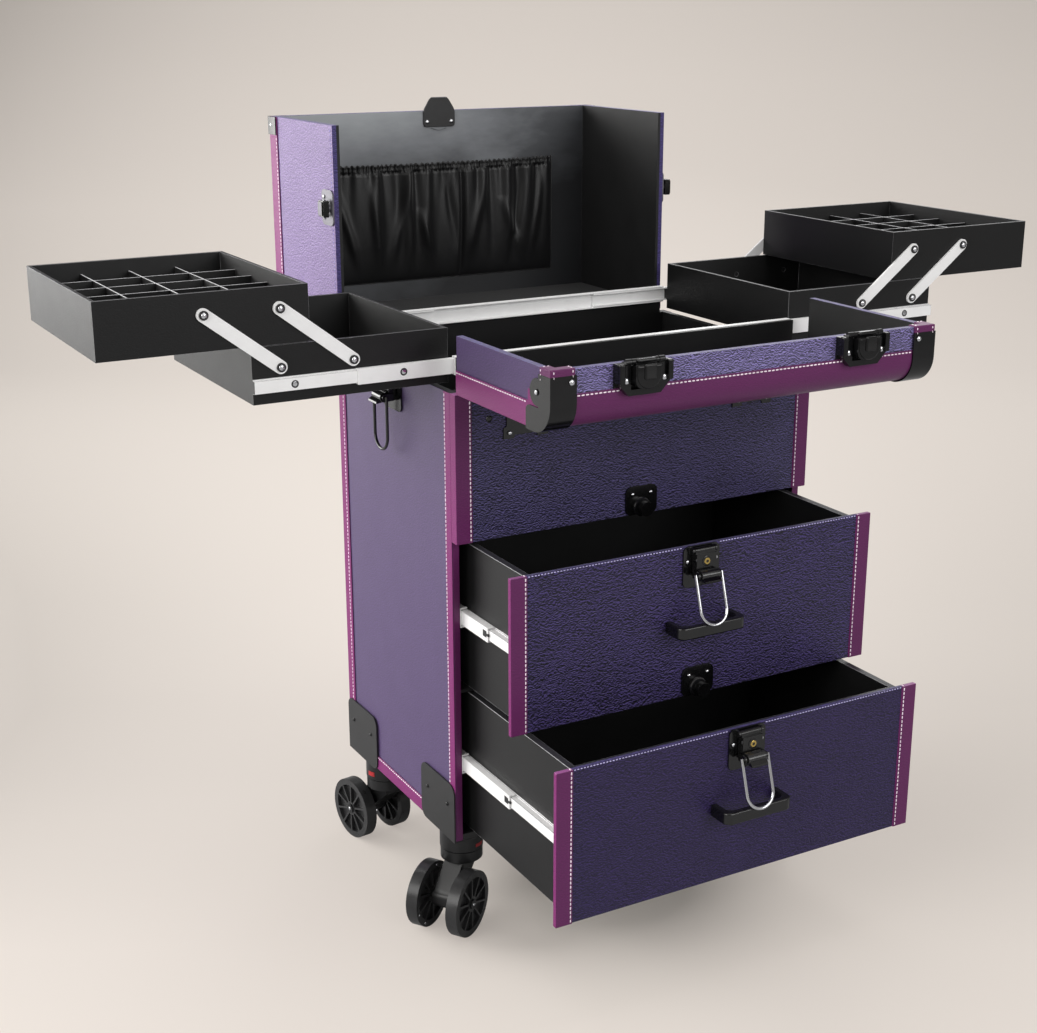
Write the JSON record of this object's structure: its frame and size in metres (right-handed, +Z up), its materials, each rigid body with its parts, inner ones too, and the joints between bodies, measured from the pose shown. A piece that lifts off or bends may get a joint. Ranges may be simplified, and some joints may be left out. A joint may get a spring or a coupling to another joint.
{
  "type": "rolling makeup case",
  "caption": "Upright rolling makeup case with a hinged lid and front flap, cantilever trays over a deep bin, latched pull-out drawers and swivel twin-wheel casters.",
  "frame": {"origin": "on the floor, under the middle of the case's width and of its whole reach from front to back in the open pose", "axes": "+Z up, front of the case with its drawers towards -Y, +X to the right seen from the front"},
  "size_m": [0.916, 0.5868, 0.703],
  "materials": {
    "purple_leather": "satin leatherette",
    "magenta_leather": "satin leatherette with stitching",
    "black_board": "black leatherette over board",
    "lining": "black satin",
    "black_metal": "gloss black",
    "bright_steel": "bright",
    "polished_steel": "polished",
    "black_plastic": "satin",
    "wheel": "satin black"
  },
  "bodies": {
    "cabinet": {"side_panels": "purple_leather", "back_panel": "purple_leather", "bottom_panel": "black_board", "front_panel": "purple_leather", "bin_walls": "black_board", "shelf_boards": "black_board", "cabinet_trims": "magenta_leather", "corner_guards": "black_metal", "tray_rails": "bright_steel", "drawer_rails": "bright_steel", "case_hardware": "black_metal", "caster_housings": "black_plastic"},
    "lid": {"lid_shell": "purple_leather", "lid_trims": "magenta_leather", "lid_hardware": "black_metal", "lid_pocket": "lining", "lid_hinges": "black_metal"},
    "flap": {"flap_shell": "purple_leather", "flap_edge_trim": "magenta_leather", "flap_corner_guards": "black_metal", "flap_hardware": "black_metal"},
    "flap_lever_left": {"flap_lever_left": "black_metal"},
    "flap_lever_right": {"flap_lever_right": "black_metal"},
    "drawer_upper": {"drawer_box_upper": "black_board", "drawer_front_upper": "purple_leather", "drawer_handle_upper": "black_metal", "drawer_latch_upper": "black_metal"},
    "drawer_lever_upper": {"drawer_lever_upper": "black_metal"},
    "drawer_bail_upper": {"drawer_bail_upper": "polished_steel"},
    "drawer_mids_upper": {"drawer_mids_upper": "bright_steel"},
    "drawer_lower": {"drawer_box_lower": "black_board", "drawer_front_lower": "purple_leather", "drawer_handle_lower": "black_metal", "drawer_latch_lower": "black_metal"},
    "drawer_lever_lower": {"drawer_lever_lower": "black_metal"},
    "drawer_bail_lower": {"drawer_bail_lower": "polished_steel"},
    "drawer_mids_lower": {"drawer_mids_lower": "bright_steel"},
    "side_lever_left": {"side_lever_left": "black_metal"},
    "side_bail_left": {"side_bail_left": "polished_steel"},
    "lower_tray_left": {"lower_tray_left": "black_board"},
    "upper_tray_left": {"upper_tray_left": "black_board"},
    "tray_mids_left": {"tray_mids_left": "bright_steel"},
    "tray_link_a_left": {"tray_link_a_left": "bright_steel"},
    "tray_link_b_left": {"tray_link_b_left": "bright_steel"},
    "side_lever_right": {"side_lever_right": "black_metal"},
    "side_bail_right": {"side_bail_right": "polished_steel"},
    "lower_tray_right": {"lower_tray_right": "black_board"},
    "upper_tray_right": {"upper_tray_right": "black_board"},
    "tray_mids_right": {"tray_mids_right": "bright_steel"},
    "tray_link_a_right": {"tray_link_a_right": "bright_steel"},
    "tray_link_b_right": {"tray_link_b_right": "bright_steel"},
    "caster_fork_fl": {"caster_fork_fl": "black_plastic"},
    "caster_wheels_fl": {"caster_wheels_fl": "wheel"},
    "caster_fork_fr": {"caster_fork_fr": "black_plastic"},
    "caster_wheels_fr": {"caster_wheels_fr": "wheel"},
    "caster_fork_rl": {"caster_fork_rl": "black_plastic"},
    "caster_wheels_rl": {"caster_wheels_rl": "wheel"},
    "caster_fork_rr": {"caster_fork_rr": "black_plastic"},
    "caster_wheels_rr": {"caster_wheels_rr": "wheel"}
  },
  "joints": [
    {"name": "lid_hinge", "type": "hinge", "parent": "cabinet", "child": "lid", "pos_m": [0, 0.1374, 0.495], "axis": [1, 0, 0], "range_deg": [0, 18]},
    {"name": "flap_hinge", "type": "hinge", "parent": "cabinet", "child": "flap", "pos_m": [0, -0.1061, 0.495], "axis": [-1, 0, 0], "range_deg": [0, 28]},
    {"name": "flap_lever_left_hinge", "type": "hinge", "parent": "flap", "child": "flap_lever_left", "pos_m": [-0.1035, -0.2621, 0.5437], "axis": [-1, 0, 0], "range_deg": [0, 100]},
    {"name": "flap_lever_right_hinge", "type": "hinge", "parent": "flap", "child": "flap_lever_right", "pos_m": [0.1035, -0.2621, 0.5437], "axis": [-1, 0, 0], "range_deg": [0, 100]},
    {"name": "drawer_upper_slide", "type": "slide", "parent": "cabinet", "child": "drawer_upper", "axis": [0, -1, 0], "range_m": [-0.0965, 0.083]},
    {"name": "drawer_upper_mids_slide", "type": "slide", "parent": "cabinet", "child": "drawer_mids_upper", "axis": [0, -1, 0], "range_m": [-0.04825, 0.0415]},
    {"name": "drawer_upper_lever_hinge", "type": "hinge", "parent": "drawer_upper", "child": "drawer_lever_upper", "pos_m": [0, -0.1996, 0.3629], "axis": [-1, 0, 0], "range_deg": [0, 80]},
    {"name": "drawer_upper_bail_hinge", "type": "hinge", "parent": "drawer_lever_upper", "child": "drawer_bail_upper", "pos_m": [0, -0.2076, 0.3432], "axis": [-1, 0, 0], "range_deg": [0, 75]},
    {"name": "drawer_lower_slide", "type": "slide", "parent": "cabinet", "child": "drawer_lower", "axis": [0, -1, 0], "range_m": [-0.1685, 0.011]},
    {"name": "drawer_lower_mids_slide", "type": "slide", "parent": "cabinet", "child": "drawer_mids_lower", "axis": [0, -1, 0], "range_m": [-0.08425, 0.0055]},
    {"name": "drawer_lower_lever_hinge", "type": "hinge", "parent": "drawer_lower", "child": "drawer_lever_lower", "pos_m": [0, -0.2716, 0.2276], "axis": [-1, 0, 0], "range_deg": [0, 80]},
    {"name": "drawer_lower_bail_hinge", "type": "hinge", "parent": "drawer_lever_lower", "child": "drawer_bail_lower", "pos_m": [0, -0.2796, 0.2079], "axis": [-1, 0, 0], "range_deg": [0, 75]},
    {"name": "side_lever_left_hinge", "type": "hinge", "parent": "cabinet", "child": "side_lever_left", "pos_m": [-0.1835, 0.01565, 0.4907], "axis": [0, 1, 0], "range_deg": [0, 60]},
    {"name": "side_bail_left_hinge", "type": "hinge", "parent": "side_lever_left", "child": "side_bail_left", "pos_m": [-0.1915, 0.01565, 0.471], "axis": [0, 1, 0], "range_deg": [0, 35]},
    {"name": "tray_slide_left", "type": "slide", "parent": "cabinet", "child": "lower_tray_left", "axis": [1, 0, 0], "range_m": [0, 0.1705]},
    {"name": "tray_mids_slide_left", "type": "slide", "parent": "cabinet", "child": "tray_mids_left", "axis": [1, 0, 0], "range_m": [0, 0.08525]},
    {"name": "tray_link_a_hinge_left", "type": "hinge", "parent": "lower_tray_left", "child": "tray_link_a_left", "pos_m": [-0.3165, 0.0204, 0.527], "axis": [0, 1, 0], "range_deg": [0, 104.96]},
    {"name": "tray_link_b_hinge_left", "type": "hinge", "parent": "lower_tray_left", "child": "tray_link_b_left", "pos_m": [-0.256, 0.0204, 0.527], "axis": [0, 1, 0], "range_deg": [0, 104.96]},
    {"name": "upper_tray_hinge_left", "type": "hinge", "parent": "tray_link_a_left", "child": "upper_tray_left", "pos_m": [-0.37575, 0.0204, 0.5725], "axis": [0, 1, 0], "range_deg": [-104.96, 0]},
    {"name": "side_lever_right_hinge", "type": "hinge", "parent": "cabinet", "child": "side_lever_right", "pos_m": [0.1835, 0.01565, 0.4907], "axis": [0, -1, 0], "range_deg": [0, 60]},
    {"name": "side_bail_right_hinge", "type": "hinge", "parent": "side_lever_right", "child": "side_bail_right", "pos_m": [0.1915, 0.01565, 0.471], "axis": [0, -1, 0], "range_deg": [0, 35]},
    {"name": "tray_slide_right", "type": "slide", "parent": "cabinet", "child": "lower_tray_right", "axis": [-1, 0, 0], "range_m": [0, 0.1705]},
    {"name": "tray_mids_slide_right", "type": "slide", "parent": "cabinet", "child": "tray_mids_right", "axis": [-1, 0, 0], "range_m": [0, 0.08525]},
    {"name": "tray_link_a_hinge_right", "type": "hinge", "parent": "lower_tray_right", "child": "tray_link_a_right", "pos_m": [0.3165, 0.0204, 0.527], "axis": [0, -1, 0], "range_deg": [0, 104.96]},
    {"name": "tray_link_b_hinge_right", "type": "hinge", "parent": "lower_tray_right", "child": "tray_link_b_right", "pos_m": [0.256, 0.0204, 0.527], "axis": [0, -1, 0], "range_deg": [0, 104.96]},
    {"name": "upper_tray_hinge_right", "type": "hinge", "parent": "tray_link_a_right", "child": "upper_tray_right", "pos_m": [0.37575, 0.0204, 0.5725], "axis": [0, -1, 0], "range_deg": [-104.96, 0]},
    {"name": "caster_swivel_fl", "type": "hinge", "parent": "cabinet", "child": "caster_fork_fl", "pos_m": [-0.16, -0.06535, 0.071], "axis": [0, 0, 1], "continuous": true},
    {"name": "caster_wheels_spin_fl", "type": "hinge", "parent": "caster_fork_fl", "child": "caster_wheels_fl", "pos_m": [-0.18238, -0.08045, 0.03], "axis": [0.5592, -0.829, 0], "continuous": true},
    {"name": "caster_swivel_fr", "type": "hinge", "parent": "cabinet", "child": "caster_fork_fr", "pos_m": [0.16, -0.06535, 0.071], "axis": [0, 0, 1], "continuous": true},
    {"name": "caster_wheels_spin_fr", "type": "hinge", "parent": "caster_fork_fr", "child": "caster_wheels_fr", "pos_m": [0.15077, -0.09072, 0.03], "axis": [0.9397, -0.342, 0], "continuous": true},
    {"name": "caster_swivel_rl", "type": "hinge", "parent": "cabinet", "child": "caster_fork_rl", "pos_m": [-0.16, 0.09665, 0.071], "axis": [0, 0, 1], "continuous": true},
    {"name": "caster_wheels_spin_rl", "type": "hinge", "parent": "caster_fork_rl", "child": "caster_wheels_rl", "pos_m": [-0.16422, 0.12332, 0.03], "axis": [-0.9877, -0.1564, 0], "continuous": true},
    {"name": "caster_swivel_rr", "type": "hinge", "parent": "cabinet", "child": "caster_fork_rr", "pos_m": [0.16, 0.09665, 0.071], "axis": [0, 0, 1], "continuous": true},
    {"name": "caster_wheels_spin_rr", "type": "hinge", "parent": "caster_fork_rr", "child": "caster_wheels_rr", "pos_m": [0.1735, 0.12003, 0.03], "axis": [-0.866, 0.5, 0], "continuous": true}
  ],
  "couplings": [
    {"joint": "drawer_upper_mids_slide", "follows": "drawer_upper_slide", "ratio": 0.5},
    {"joint": "drawer_lower_mids_slide", "follows": "drawer_lower_slide", "ratio": 0.5},
    {"joint": "tray_mids_slide_left", "follows": "tray_slide_left", "ratio": 0.5},
    {"joint": "tray_link_b_hinge_left", "follows": "tray_link_a_hinge_left", "ratio": 1},
    {"joint": "upper_tray_hinge_left", "follows": "tray_link_a_hinge_left", "ratio": -1},
    {"joint": "tray_mids_slide_right", "follows": "tray_slide_right", "ratio": 0.5},
    {"joint": "tray_link_b_hinge_right", "follows": "tray_link_a_hinge_right", "ratio": 1},
    {"joint": "upper_tray_hinge_right", "follows": "tray_link_a_hinge_right", "ratio": -1}
  ]
}
